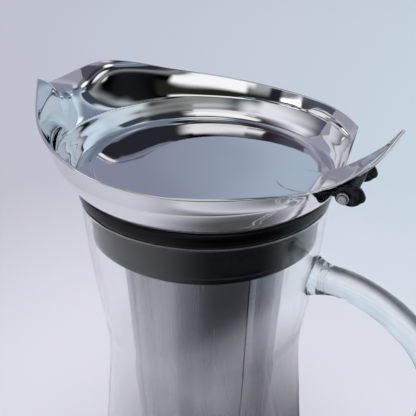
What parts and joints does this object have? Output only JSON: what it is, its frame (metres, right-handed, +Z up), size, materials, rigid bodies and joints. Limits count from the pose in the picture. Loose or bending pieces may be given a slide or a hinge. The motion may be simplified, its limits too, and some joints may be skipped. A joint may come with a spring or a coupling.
{
  "type": "cold brew coffee pitcher",
  "caption": "Clear glass pitcher with a bent glass rod handle, a polished steel pouring collar with a flip lid and thumb lever, a black seal and a removable steel filter tube.",
  "frame": {"origin": "centre of the flat base that the pitcher stands on", "axes": "+Z up along the glass's axis, -X towards the spout, +X towards the handle and the lid's hinge, Y along the hinge pin"},
  "size_m": [0.1797, 0.1112, 0.2635],
  "materials": {
    "clear_glass": "clear borosilicate glass, smooth",
    "polished_steel": "mirror-polished stainless steel",
    "hinge_steel": "plain stainless steel, seen dark",
    "etched_steel": "finely etched satin steel sheet",
    "satin_steel": "satin stainless steel",
    "black_silicone": "moulded silicone, slightly glossy"
  },
  "bodies": {
    "glass": {"glass_carafe": "clear_glass", "glass_handle": "clear_glass"},
    "lid": {"spout_collar": "polished_steel", "collar_sleeve": "polished_steel", "lid_seal": "black_silicone", "hinge_lug": "hinge_steel", "hinge_pin": "satin_steel", "pin_ring_near": "satin_steel", "pin_ring_far": "satin_steel"},
    "filter": {"filter_tube": "etched_steel", "filter_top_ring": "satin_steel", "filter_bottom_ring": "satin_steel", "filter_bottom_plate": "etched_steel", "filter_seam": "satin_steel"},
    "flap": {"flap_disc": "polished_steel", "thumb_lever": "polished_steel", "lever_bracket": "hinge_steel"}
  },
  "joints": [
    {"name": "lid_lift", "type": "slide", "parent": "glass", "child": "lid", "axis": [0, 0, 1], "range_m": [0, 0.235]},
    {"name": "filter_pull", "type": "slide", "parent": "lid", "child": "filter", "axis": [0, 0, -1], "range_m": [0, 0.0235]},
    {"name": "flap_hinge", "type": "hinge", "parent": "lid", "child": "flap", "pos_m": [0.0508, 0, 0.2425], "axis": [0, 1, 0], "range_deg": [0, 75]}
  ]
}
